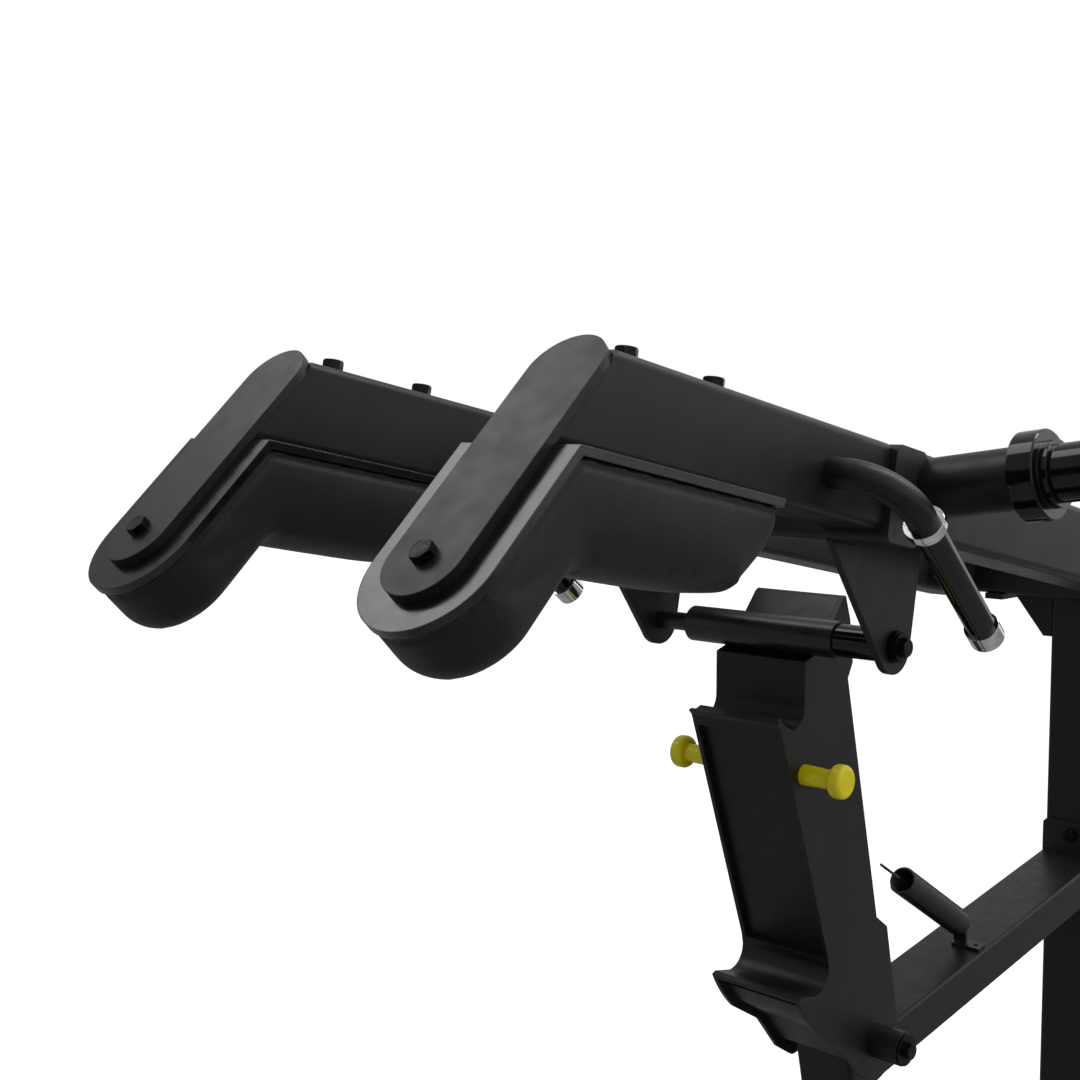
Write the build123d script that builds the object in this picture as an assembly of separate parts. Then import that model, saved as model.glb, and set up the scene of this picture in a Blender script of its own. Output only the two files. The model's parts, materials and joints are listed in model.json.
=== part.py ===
from build123d import *
import math
import os

# Plate-loaded squat machine: two shoulder pads on a lever that hinges at the rear and rests on a
# swinging catch. Millimetres, +Z up, floor at Z = 0. The user stands at -Y and faces +Y. The origin
# is on the floor at the middle of the base.

# Overall layout
base_length = 1760.0
shoulder_height = 1500.0
shoulder_setback = 300.0
pad_spacing = 340.0
lever_slope = 10.9
head_reach = 1325.0

# Lever tubes. "Along" runs down the sloping lever from the pad bolts and "up" is square to it.
arm_width = 65.0
arm_height = 75.5
arm_up = 81.8
tube_wall = 3.5
tube_corner = 7.0
cross_along = 489.0
cross_depth = 50.0
cross_below_arm = 10.0
beam_width = 68.0
beam_overhang = 6.5
lever_gap = 14.0
cap_thickness = 4.0
arm_bolt_along = 170.0
arm_bolt_pitch = 105.0
arm_bolt_head = 12.0

# End plates and pads. "Rise" runs up the end plate and "out" is square to its face.
plate_width = 68.0
plate_thickness = 8.0
plate_angle = 54.8
plate_rise = 176.0
plate_face = -5.7
pad_width = 114.0
board_thickness = 7.0
pad_thickness = 61.0
pad_tail_thickness = 73.0
pad_tail = 308.0
pad_chamfer = 34.0

# Handles
handle_diameter = 26.0
handle_along = 401.6
handle_up = 117.0
handle_bend = 51.0
handle_turn = 93.0
handle_dive = 29.1
handle_stub = 7.0
collar_gap = 9.0
collar_diameter = 35.0
collar_length = 12.0
collar_step = 4.0
grip_length = 140.0
grip_wall = 2.5
grip_cap_diameter = 31.0
grip_cap_length = 18.0
cap_end = 5.0

# Weight horns
horn_along = 553.6
horn_up = 127.8
horn_tilt = 8.3
horn_diameter = 55.0
horn_length = 87.3
stop_diameter = 78.0
stop_length = 23.0
step_diameter = 58.0
step_length = 8.0
sleeve_diameter = 50.0
sleeve_length = 300.0
sleeve_wall = 5.0
sleeve_cap = 8.0
sleeve_cap_bevel = 3.0
stop_bevel = 1.0
horn_spigot = 20.0

# Rest roller under the lever
roller_along = 615.4
roller_drop = 131.8
roller_diameter = 37.0
roller_far_end = 93.0
roller_near_end = 86.0
roller_axle = 19.0
spacer_diameter = 32.5
lug_face = 139.5
lug_thickness = 7.0
lug_radius = 27.0
lug_lap = 12.0
lug_lead = 70.0
lug_shoulder = 24.0
block_width = 24.0
block_depth = 22.0
block_height = 12.0
block_rise = 42.0
block_lead = 8.0
running_gap = 0.05
side_gap = 0.5
boss_diameter = 31.0
boss_thickness = 5.0

# Swinging catch. Its outline is measured from its own pivot, rearward and up.
catch_along = 746.3
catch_drop = 582.3
catch_width = 109.0
catch_plate = 5.0
catch_sheet = 4.0
catch_recess = 7.0
catch_clearance = 0.4
catch_foot_radius = 46.0
catch_swing = 15.0
catch_inset = 8.0
stop_gap = 0.8
stop_start = 14.0
stop_length_along = 24.0
stop_width = 32.0
catch_heel = (-32.3, -28.0)
catch_chin = (-66.3, 12.8)
hub_diameter = 36.0
hub_reach = 89.0
catch_axle = 22.0
knob_along = 603.0
knob_drop = 268.0
knob_stem = 21.0
knob_head = 34.0
knob_length = 50.0
knob_rim = 15.0

# Fixed frame
frame_wall = 3.0
post_width = 70.0
post_depth = 50.0
post_corner = 4.0
post_lean = 12.9
post_over = 40.0
strut_width = 80.0
strut_height = 50.0
strut_slope = 8.0
strut_along = 968.0
strut_drop = 563.7
strut_plate_width = 80.0
strut_plate_thickness = 6.0
strut_plate_top = 469.0
strut_plate_height = 110.0
strut_bolt_drop = 17.0
strut_plate_bevel = 5.0
upright_width = 80.0
upright_depth = 60.0
upright_setback = 12.0
head_height = 60.0
head_depth = 80.0
head_length = 401.0
head_drop = 161.5
gusset_width = 55.0
gusset_tip = 12.0
gusset_height = 55.0
gusset_thickness = 8.0
bearing_offset = 119.0
bearing_width = 26.0
bearing_wall = 10.0
bearing_base = 12.0
pivot_rise = 42.0
pivot_diameter = 30.0
pivot_plate = 8.0
pivot_lap = 120.0

# Base
spine_width = 80.0
foot_height = 60.0
foot_depth = 80.0
rubber_height = 10.0
rubber_size = 70.0
front_foot_length = 700.0
rear_foot_length = 860.0
platform_depth = 620.0
platform_thickness = 5.0
mat_thickness = 6.0
mat_margin = 20.0
anchor_spacing = 600.0
anchor_tab = 50.0
anchor_width = 60.0
anchor_thickness = 8.0
anchor_hole = 14.0
flange_thickness = 8.0
flange_margin = 32.0

# Spring
spring_diameter = 33.0
spring_wire = 3.2
spring_length = 158.0
spring_x = 8.0
spring_start = 9.0
spring_tail = 13.0
loop_reach = 19.0
loop_turn = 69.0
spring_slope = 31.5
spring_foot_along = 268.6
spring_foot_rise = 25.0
strip_width = 16.0
strip_base = 36.0
strip_thickness = 4.0
hook_clearance = 0.5

# Fasteners
small_hex = 16.0
small_head = 7.0
small_bolt = 10.0
small_bolt_length = 20.0
large_hex = 24.0
large_head = 9.0
washer_thickness = 2.5
bolt_clearance = 0.25

shoulder_y = -base_length / 2 + shoulder_setback
arm_x = pad_spacing / 2
beam_outer = arm_x + arm_width / 2 + beam_overhang
beam_inner = beam_outer - beam_width
arm_top = arm_up + arm_height
lever_frame = Location((0, shoulder_y, shoulder_height), (-lever_slope, 0, 0))
plate_normal = Vector(0, -math.sin(math.radians(plate_angle)), math.cos(math.radians(plate_angle)))
floor_top = rubber_height + foot_height
bearing_radius = pivot_diameter / 2 + bearing_wall
catch_y = shoulder_y + catch_along
catch_z = shoulder_height - catch_drop
head_front = shoulder_y + head_reach
upright_front = head_front + upright_setback
head_bottom = shoulder_height - head_drop
pivot_y = head_front + head_depth / 2
pivot_z = head_bottom + head_height + pivot_rise
far = 2 * base_length
pieces = {}
frame_bolts = []
frame_caps = []


def lever_point(y, z):
    """Turns a floor-frame Y and Z into along and up on the lever."""
    angle = math.radians(lever_slope)
    dy = y - shoulder_y
    dz = z - shoulder_height
    return dy * math.cos(angle) - dz * math.sin(angle), dy * math.sin(angle) + dz * math.cos(angle)


def mirrored(solid):
    return mirror(solid, about=Plane.YZ)


def pair(name, solid):
    """The solid is on the right, at +X, and its mirror image is on the left."""
    pieces[name + "_right"] = solid
    pieces[name + "_left"] = mirrored(solid)


def both(name, solid):
    pieces[name] = Compound([*solid.solids(), *mirrored(solid).solids()])


def tube_y(width, height, wall, corner, length):
    """A hollow rectangular tube from Y = 0 to length, centred on X and Z."""
    section = Plane((0, 0, 0), x_dir=(1, 0, 0), z_dir=(0, 1, 0))
    outer = section * RectangleRounded(width, height, corner)
    inner = section * RectangleRounded(width - 2 * wall, height - 2 * wall, max(corner - wall, 1))
    return extrude(outer - inner, length)


def tube_x(depth, height, wall, corner, length):
    """A hollow rectangular tube centred on the origin and lying along X."""
    return Rot(0, 0, -90) * Pos(0, -length / 2, 0) * tube_y(depth, height, wall, corner, length)


def tube_z(width, depth, wall, corner, length):
    """A hollow rectangular tube from Z = 0 to length, centred on X and Y."""
    return Rot(90, 0, 0) * tube_y(width, depth, wall, corner, length)


def rod_x(diameter, start, end, y, z):
    return Pos((start + end) / 2, y, z) * Rot(0, 90, 0) * Cylinder(diameter / 2, end - start)


def ring_x(outer, inner, start, end, y, z):
    return rod_x(outer, start, end, y, z) - rod_x(inner, start - 1, end + 1, y, z)


def plate_x(points, start, end):
    """An outline of along and up points, made into a plate from X = start to X = end."""
    face = Plane.YZ * make_face(Polyline(*points, close=True))
    return Pos(start, 0, 0) * extrude(face, end - start)


def hex_head(across, height):
    """A hexagon head that stands on Z = 0, with chamfered corners."""
    head = extrude(RegularPolygon(across / 2, 6, major_radius=False), height)
    dome = Cone(across / 2 + height, across / 2 - height * 0.1, height * 1.1 + 0.1)
    return head & Pos(0, 0, height * 0.55) * dome


def bolt(across, height, diameter, length):
    """A bolt with its head above Z = 0 and its shank below."""
    shank = Pos(0, 0, -length / 2) * Cylinder(diameter / 2, length)
    return hex_head(across, height) + shank


def on_plate(x, out):
    """The plane at a distance out from the pad bolts, parallel to the end plate's face."""
    origin = Vector(x, 0, 0) + plate_normal * out
    return Plane(origin, x_dir=(1, 0, 0), z_dir=plate_normal)


def beyond_plate(out):
    """A large block of everything further out than the given distance."""
    return on_plate(0, out) * Box(far, far, far, align=(Align.CENTER, Align.CENTER, Align.MIN))


def pad_outline(out_top, up_top, out_low, up_low, tail):
    """The side outline of a pad layer, along and up, from its low end round the bend to its tail."""
    angle = math.radians(plate_angle)

    def corner(out, up):
        return ((up * math.cos(angle) - out) / math.sin(angle), up)

    def leg(out, rise):
        along = rise * math.cos(angle) - out * math.sin(angle)
        return along, rise * math.sin(angle) + out * math.cos(angle)

    low = -pad_width
    top = [leg(out_top, low), corner(out_top, up_top), (tail, up_top)]
    return top, [corner(out_low, up_low), leg(out_low, low)]


def pad_layer(out_top, up_top, depth, tail_depth, chamfer):
    """A layer behind the end plate and under the arm; its tail can be thicker than its front."""
    out_low = out_top - depth
    up_low = up_top - tail_depth
    top, low = pad_outline(out_top, up_top, out_low, up_low, pad_tail)
    tail = [(pad_tail, up_low + chamfer), (pad_tail - chamfer, up_low)] if chamfer else [(pad_tail, up_low)]
    solid = plate_x(top + tail + low, arm_x - pad_width / 2, arm_x + pad_width / 2)
    reach = pad_tail * 2
    outline = Circle(pad_width / 2) + Pos(0, reach / 2) * Rectangle(pad_width, reach)
    prism = extrude(on_plate(arm_x, 0) * outline, -reach)
    return solid & prism


def make_arms():
    back = plate_face - plate_thickness
    length = cross_along
    arm = tube_y(arm_width, arm_height, tube_wall, tube_corner, length)
    arm = Pos(arm_x, 0, arm_up + arm_height / 2) * arm
    arm = arm - beyond_plate(back)
    outline = Pos(0, plate_rise / 2) * SlotCenterToCenter(plate_rise, plate_width, rotation=90)
    plate = extrude(on_plate(arm_x, back) * outline, plate_thickness)
    board_up = arm_up
    board = pad_layer(back, board_up, board_thickness, board_thickness, 0)
    pad_back = back - board_thickness
    pad_up = board_up - board_thickness
    pad = pad_layer(pad_back, pad_up, pad_thickness, pad_tail_thickness, pad_chamfer)
    shank = plate_thickness + board_thickness
    hole = on_plate(arm_x, plate_face) * Cylinder(small_bolt / 2 + bolt_clearance, 2 * shank)
    pad_bolt = on_plate(arm_x, plate_face) * bolt(small_hex, small_head, small_bolt, shank - 1)
    arm_bolts = []
    for along in (arm_bolt_along, arm_bolt_along + arm_bolt_pitch):
        place = Pos(arm_x, along, arm_top)
        arm = arm - place * Cylinder(small_bolt / 2 + bolt_clearance, 4 * tube_wall)
        arm_bolts.append(place * bolt(small_hex, arm_bolt_head, small_bolt, small_bolt_length))
    pair("arm", lever_frame * arm)
    both("end_plates", lever_frame * (plate - hole))
    both("pad_boards", lever_frame * (board - hole))
    pair("shoulder_pad", lever_frame * pad)
    both("arm_bolts", lever_frame * Compound([pad_bolt, *arm_bolts]))


def make_lever_frame():
    cross_height = arm_height + cross_below_arm
    cross_mid = arm_top - cross_height / 2
    cross = tube_x(cross_depth, cross_height, tube_wall, tube_corner, 2 * beam_outer - 2 * cap_thickness)
    pieces["lever_cross_tube"] = lever_frame * Pos(0, cross_along + cross_depth / 2, cross_mid) * cross
    cap = extrude(Plane.YZ * RectangleRounded(cross_depth, cross_height, tube_corner), cap_thickness)
    cross_cap = Pos(beam_outer - cap_thickness, cross_along + cross_depth / 2, cross_mid) * cap
    beam_start = cross_along + cross_depth
    angle = math.radians(lever_slope)
    rear = (head_front - lever_gap - shoulder_y - arm_top * math.sin(angle)) / math.cos(angle)
    beam_x = (beam_outer + beam_inner) / 2
    beam_mid = arm_up + arm_height / 2
    length = rear - cap_thickness - beam_start
    beam = tube_y(beam_width, arm_height, tube_wall, tube_corner, length)
    pair("side_beam", lever_frame * Pos(beam_x, beam_start, beam_mid) * beam)
    across = Plane((0, 0, 0), x_dir=(1, 0, 0), z_dir=(0, 1, 0))
    end = across * RectangleRounded(beam_width, arm_height, tube_corner)
    beam_cap = Pos(beam_x, rear - cap_thickness, beam_mid) * extrude(end, cap_thickness)
    both("lever_end_caps", lever_frame * Compound([cross_cap, beam_cap]))
    pivot_along, pivot_up = lever_point(pivot_y, pivot_z)
    outline = [
        (rear - pivot_lap, arm_up + 15),
        (rear - 12, arm_up + 8),
        (rear - 4, arm_top - 8),
        (pivot_along - bearing_radius, pivot_up - 16),
        (pivot_along, pivot_up),
        (pivot_along - 12, pivot_up + bearing_radius - 3.5),
        (rear - pivot_lap, arm_top - 12),
    ]
    start = beam_inner - pivot_plate
    plate = plate_x(outline, start, beam_inner)
    plate = plate + rod_x(2 * bearing_radius, start, beam_inner, pivot_along, pivot_up)
    plate = plate - rod_x(pivot_diameter, start - 1, beam_inner + 1, pivot_along, pivot_up)
    both("pivot_plates", lever_frame * plate)
    reach = beam_inner + 4
    pieces["pivot_axle"] = rod_x(pivot_diameter, -reach, reach, pivot_y, pivot_z)
    washer = rod_x(pivot_diameter + 10, reach, reach + washer_thickness, pivot_y, pivot_z)
    head = Pos(reach + washer_thickness, pivot_y, pivot_z) * Rot(0, 90, 0) * hex_head(large_hex, large_head)
    both("pivot_axle_bolts", washer + head)


def make_handles():
    root = Vector(arm_x + arm_width / 2, handle_along, handle_up)
    dive = math.radians(handle_dive)
    plane = Plane(root, x_dir=(1, 0, 0), z_dir=(0, math.sin(dive), math.cos(dive)))
    turn = math.radians(handle_turn - 90)
    bend_end = Vector(handle_stub + handle_bend * math.cos(turn), handle_bend * (1 + math.sin(turn)))
    direction = Vector(-math.sin(turn), math.cos(turn))
    tip = bend_end + direction * (collar_gap + collar_length)
    path = Wire([
        Line((0, 0), (handle_stub, 0)).edge(),
        CenterArc((handle_stub, handle_bend), handle_bend, -90, handle_turn).edge(),
        Line(bend_end, tip).edge(),
    ])
    section = Plane((0, 0, 0), x_dir=(0, 1, 0), z_dir=(1, 0, 0)) * Circle(handle_diameter / 2)
    bar = plane * sweep(section, path=path)
    spigot = handle_diameter - 2 * grip_wall

    def ring(start, length, outer, inner):
        tube = Cylinder(outer / 2, length)
        if inner:
            tube = tube - Cylinder(inner / 2, 2 * length)
        origin = bend_end + direction * (start + length / 2)
        return plane * Plane(origin, x_dir=(0, 0, 1), z_dir=direction).location * tube

    grip_start = collar_gap + collar_length
    grip_end = grip_start + grip_length
    bar = bar + ring(grip_start, grip_length + grip_cap_length - cap_end, spigot, 0)
    collar = ring(collar_gap, collar_length - collar_step, collar_diameter, handle_diameter)
    neck = ring(grip_start - collar_step, collar_step, collar_diameter - collar_step, handle_diameter)
    collar = collar + neck
    cap = ring(grip_end, grip_cap_length - cap_end, grip_cap_diameter, spigot)
    cap = cap + ring(grip_end + grip_cap_length - cap_end, cap_end, grip_cap_diameter, 0)
    both("handle_bars", lever_frame * bar)
    both("handle_grips", lever_frame * ring(grip_start, grip_length, handle_diameter, spigot))
    both("handle_collars", lever_frame * collar)
    both("handle_end_caps", lever_frame * cap)


def make_horns():
    place = lever_frame * Pos(beam_outer, horn_along, horn_up) * Rot(0, 90 - horn_tilt, 0)

    def stub(diameter, start, end):
        return Pos(0, 0, (start + end) / 2) * Cylinder(diameter / 2, end - start)

    sink = horn_diameter
    bore = horn_diameter - 2 * sleeve_wall
    horn = stub(horn_diameter, -sink, horn_length) - stub(bore, -sink - 1, horn_length - sleeve_wall)
    beam_side = Box(sink * 2, far, far, align=(Align.MAX, Align.CENTER, Align.CENTER))
    horn = place * horn - lever_frame * Pos(beam_outer, horn_along, horn_up) * beam_side
    stop = chamfer(stub(stop_diameter, horn_length, horn_length + stop_length).edges(), stop_bevel)
    stop_end = horn_length + stop_length + step_length
    stop = stop + stub(step_diameter, horn_length + stop_length, stop_end)
    tip = stop_end + sleeve_length
    sleeve_bore = sleeve_diameter - 2 * sleeve_wall
    tube = stub(sleeve_diameter, stop_end, tip) - stub(sleeve_bore, stop_end - 1, tip + 1)
    cap = stub(sleeve_diameter, tip, tip + sleeve_cap)
    cap = chamfer(cap.faces().sort_by(Axis.Z)[-1].edges(), sleeve_cap_bevel)
    cap = cap + stub(sleeve_bore, tip - horn_spigot, tip)
    both("horn_tubes", horn)
    both("horn_stops", place * stop)
    pair("horn_sleeve", place * tube)
    both("horn_sleeve_caps", place * cap)


def make_roller():
    y = shoulder_y + roller_along
    z = shoulder_height - roller_drop
    along, up = lever_point(y, z)
    cross_bottom = arm_up - cross_below_arm
    cross_end = cross_along + cross_depth
    reach = lug_radius * 0.7
    outline = [
        (cross_along + lug_lap, cross_bottom),
        (cross_end, cross_bottom),
        (cross_end, arm_up),
        (along + lug_radius, arm_up),
        (along + lug_radius, up),
        (along, up),
        (along - reach, up - reach),
        (along - 1.27 * lug_radius - lug_lead, cross_bottom - lug_shoulder),
    ]
    start = lug_face
    end = lug_face + lug_thickness
    lug = plate_x(outline, start, end) + rod_x(2 * lug_radius, start, end, along, up)
    lug = lever_frame * lug - rod_x(roller_axle, start - 1, end + 1, y, z)
    both("roller_lugs", lug)
    pieces["roller_axle"] = rod_x(roller_axle, -end, end, y, z)
    boss = rod_x(boss_diameter, end, end + boss_thickness, y, z)
    washer_end = end + boss_thickness + washer_thickness
    washer = rod_x(boss_diameter - 4, end + boss_thickness, washer_end, y, z)
    head = Pos(washer_end, y, z) * Rot(0, 90, 0) * hex_head(small_hex, small_head)
    both("roller_axle_bolts", boss + washer + head)
    bore = roller_axle + 2 * running_gap
    pieces["rest_roller"] = ring_x(roller_diameter, bore, -roller_far_end, roller_near_end, y, z)
    spacer_start = roller_near_end + side_gap
    pieces["roller_spacer"] = ring_x(spacer_diameter, roller_axle, spacer_start, lug_face, y, z)
    block = Box(block_width, block_depth, block_height, align=(Align.MIN, Align.CENTER, Align.MAX))
    pieces["lug_block"] = lever_frame * Pos(-lug_face, along - block_lead, up + block_rise) * block


def catch_outline():
    """The catch's side outline as a face on Y and Z, from its pivot."""
    ry = roller_along - catch_along
    rz = catch_drop - roller_drop
    radius = roller_diameter / 2 + catch_clearance
    rest = math.hypot(ry, rz) - radius
    toward = math.atan2(-rz, -ry)
    back = (-76.5, 484.5)
    reach = math.hypot(back[0] - ry, back[1] - rz)
    leave = math.atan2(back[1] - rz, back[0] - ry) - math.acos(radius / reach)
    bottom = (ry + radius * math.cos(toward), rz + radius * math.sin(toward))
    middle = (toward + leave) / 2
    side = (ry + radius * math.cos(middle), rz + radius * math.sin(middle))
    last = (ry + radius * math.cos(leave), rz + radius * math.sin(leave))
    lip_y = ry - 12.8
    lip = (lip_y, math.sqrt(rest ** 2 - lip_y ** 2))
    low = (lip_y, 381.7)
    foot = catch_foot_radius
    edges = [
        Line((-72.5, 486.5), (-63.8, 461.6)),
        Line((-63.8, 461.6), (-57.8, 416.5)),
        Line((-57.8, 416.5), (-66.3, 401.2)),
        Line((-66.3, 401.2), (-2.6, 136.0)),
        Line((-2.6, 136.0), (18.7, 120.7)),
        Line((18.7, 120.7), (foot, 0)),
        ThreePointArc((foot, 0), (foot * 0.643, -foot * 0.766), (-foot * 0.1, -foot * 0.995)),
        Line((-foot * 0.1, -foot * 0.995), catch_heel),
        Line(catch_heel, catch_chin),
        Line(catch_chin, (-113.0, 40.8)),
        ThreePointArc((-113.0, 40.8), (-131.8, 61.0), (-146.5, 84.0)),
        Line((-146.5, 84.0), (-141.0, 86.5)),
        Line((-141.0, 86.5), (-116.0, 80.8)),
        ThreePointArc((-116.0, 80.8), (-99.5, 87.5), (-93.0, 104.0)),
        Line((-93.0, 104.0), (-95.2, 115.6)),
        Line((-95.2, 115.6), (-184.5, 366.0)),
        Line((-184.5, 366.0), (-189.5, 371.0)),
        Line((-189.5, 371.0), (-184.5, 372.5)),
        Line((-184.5, 372.5), (-164.0, 361.3)),
        ThreePointArc((-164.0, 361.3), (-149.7, 367.3), low),
        Line(low, lip),
        Line(lip, bottom),
        ThreePointArc(bottom, side, last),
        Line(last, back),
        Line(back, (-72.5, 486.5)),
    ]
    return make_face(Wire([edge.edge() for edge in edges]))


def catch_place():
    return Pos(0, catch_y, catch_z)


def catch_slab(points):
    """A solid between the catch's two side plates, from an outline measured from the pivot."""
    inner = catch_width / 2 - catch_plate
    return catch_place() * plate_x(points, -inner, inner)


def strip_along(start, end, inset, thickness):
    """A flat sheet between the side plates, set in behind the line from start to end."""
    run = (Vector(0, *end) - Vector(0, *start)).normalized()
    inward = Vector(0, -run.Z, run.Y)
    near = inward * inset
    far = inward * (inset + thickness)
    first = Vector(0, *start)
    last = Vector(0, *end)
    corners = [first + near, last + near, last + far, first + far]
    return catch_slab([(corner.Y, corner.Z) for corner in corners])


def beyond(start, end, distance):
    """The point that lies a distance past end on the line from start."""
    y = end[0] - start[0]
    z = end[1] - start[1]
    ratio = distance / math.hypot(y, z)
    return end[0] + y * ratio, end[1] + z * ratio


def make_catch():
    outline = catch_outline()
    half = catch_width / 2
    inner = half - catch_plate
    bore = catch_axle + 2 * running_gap
    side = Pos(inner, 0, 0) * extrude(Plane.YZ * outline, catch_plate)
    both("catch_sides", catch_place() * (side - rod_x(hub_diameter, 0, half + 1, 0, 0)))
    hub = ring_x(hub_diameter, bore, post_width / 2 + side_gap, hub_reach, 0, 0)
    both("catch_hubs", catch_place() * hub)
    band = extrude(Plane.YZ * (outline - offset(outline, -catch_sheet)), inner, both=True)
    band = catch_place() * band
    panel_top = (-180.7, 355.3)
    panel_low = (-94.1, 112.5)
    tip = [(-66, 520), (-66, 476), (-86, 470)]
    upper = catch_slab([(-200, 361), (-200, 520), *tip, (-86, 430), (-100, 425), (-100, 361)])
    ledge = strip_along(beyond(panel_low, panel_top, 17), panel_top, 0, catch_recess + catch_sheet)
    pieces["catch_upper_cradle"] = (band & upper) + ledge
    lower = catch_slab([(-160, 112.5), (-80, 112.5), (-80, 60), (-124, 60), (-124, 80), (-160, 80)])
    ledge = strip_along(panel_low, beyond(panel_top, panel_low, 5), 0, catch_recess + catch_sheet)
    pieces["catch_lower_cradle"] = (band & lower) + ledge
    front = strip_along(panel_top, panel_low, catch_recess, catch_sheet)
    inset = offset(outline, -catch_inset) - offset(outline, -catch_inset - catch_sheet)
    shield = catch_place() * extrude(Plane.YZ * inset, inner, both=True)
    shield = shield & catch_slab([(-160, 71), (-110, 71), (-110, 60), (-30, 20), (-20, -17), (-160, -17)])
    pieces["catch_panels"] = Compound([front, *shield.solids()])
    stem = Pos(0, 0, knob_length / 2) * Cone(knob_stem / 2, knob_stem / 2 - 1.5, knob_length)
    head = Pos(0, 0, knob_length - knob_rim / 2) * Cylinder(knob_head / 2, knob_rim)
    head = fillet(head.edges(), knob_rim / 3)
    knob = Pos(half, shoulder_y + knob_along, shoulder_height - knob_drop) * Rot(0, 90, 0) * (stem + head)
    both("catch_knobs", knob)


def turned(y, z, degrees):
    """Where a point of the catch goes when its top swings rearward, measured from the pivot."""
    angle = math.radians(degrees)
    return y * math.cos(angle) + z * math.sin(angle), -y * math.sin(angle) + z * math.cos(angle)


def make_post():
    axis = catch_place() * Rot(post_lean, 0, 0)
    drop = (catch_z - floor_top) / math.cos(math.radians(post_lean)) + post_depth
    post = axis * Pos(0, 0, -drop) * tube_z(post_width, post_depth, frame_wall, post_corner, drop + post_over)
    above = floor_top + flange_thickness
    ground = Pos(0, 0, above) * Box(far, far, far, align=(Align.CENTER, Align.CENTER, Align.MAX))
    pieces["catch_post"] = post - ground - rod_x(catch_axle, -post_width, post_width, catch_y, catch_z)
    cap = extrude(RectangleRounded(post_width, post_depth, post_corner), cap_thickness)
    frame_caps.append(axis * Pos(0, 0, post_over) * cap)
    end = hub_reach + side_gap
    pieces["catch_axle"] = rod_x(catch_axle, -end, end, catch_y, catch_z)
    washer = rod_x(hub_diameter - 2, end, end + washer_thickness, catch_y, catch_z)
    head = Pos(end + washer_thickness, catch_y, catch_z) * Rot(0, 90, 0) * hex_head(small_hex, small_head)
    both("catch_axle_bolts", washer + head)
    reach = catch_inset + catch_sheet + stop_gap
    run = (Vector(0, *catch_chin) - Vector(0, *catch_heel)).normalized()
    low = Vector(0, *catch_heel) + run * stop_start + Vector(0, run.Z, -run.Y) * reach
    high = low + run * stop_length_along
    low_y, low_z = turned(low.Y, low.Z, catch_swing)
    high_y, high_z = turned(high.Y, high.Z, catch_swing)
    outline = [(low_y, low_z), (high_y, high_z), (0, high_z), (0, low_z)]
    stop = catch_place() * plate_x(outline, -stop_width / 2, stop_width / 2)
    front = axis * Pos(0, -post_depth / 2, 0)
    behind = front * Box(far, far, far, align=(Align.CENTER, Align.MIN, Align.CENTER))
    pieces["catch_stop"] = stop - behind
    return axis


def make_strut(axis):
    start = Pos(0, shoulder_y + strut_along, shoulder_height - strut_drop)
    bar = start * Rot(strut_slope, 0, 0) * Pos(0, -far / 2, -strut_height / 2)
    strut = bar * tube_y(strut_width, strut_height, frame_wall, post_corner, far)
    before = Box(far, far, far, align=(Align.CENTER, Align.MAX, Align.CENTER))
    after = Box(far, far, far, align=(Align.CENTER, Align.MIN, Align.CENTER))
    front = axis * Pos(0, post_depth / 2, 0) * before
    plate_front = upright_front - strut_plate_thickness
    level = shoulder_height - strut_drop
    rear = Pos(0, plate_front, level) * after
    pieces["strut"] = strut - front - rear
    middle = shoulder_height - strut_plate_top - strut_plate_height / 2
    plate = Box(strut_plate_width, strut_plate_thickness, strut_plate_height)
    plate = Pos(0, plate_front + strut_plate_thickness / 2, middle) * plate
    plate = chamfer(plate.edges().filter_by(Axis.Y), strut_plate_bevel)
    spot = strut_bolt_spot()
    frame_bolts.append(spot * Rot(90, 0, 0) * bolt(small_hex, small_head, small_bolt, small_bolt_length))
    pieces["strut_plate"] = plate - strut_bolt_hole()


def strut_bolt_spot():
    """Where the bolt of the strut's end plate sits, on the plate's front face."""
    drop = strut_plate_top + strut_bolt_drop
    return Pos(0, upright_front - strut_plate_thickness, shoulder_height - drop)


def strut_bolt_hole():
    return strut_bolt_spot() * Rot(90, 0, 0) * Cylinder(small_bolt / 2 + bolt_clearance, 2 * upright_depth)


def make_upright():
    above = floor_top + flange_thickness
    upright = tube_z(upright_width, upright_depth, frame_wall, tube_corner, head_bottom - above)
    upright = Pos(0, upright_front + upright_depth / 2, above) * upright
    pieces["upright"] = upright - strut_bolt_hole()
    edge = upright_width / 2
    low = head_bottom - gusset_height
    outline = [
        (edge, head_bottom),
        (edge + gusset_width, head_bottom),
        (edge + gusset_tip, low),
        (edge, low),
    ]
    face = Plane.XZ * make_face(Polyline(*outline, close=True))
    both("head_gussets", Pos(0, upright_front + gusset_thickness / 2, 0) * extrude(face, -gusset_thickness))


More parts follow.
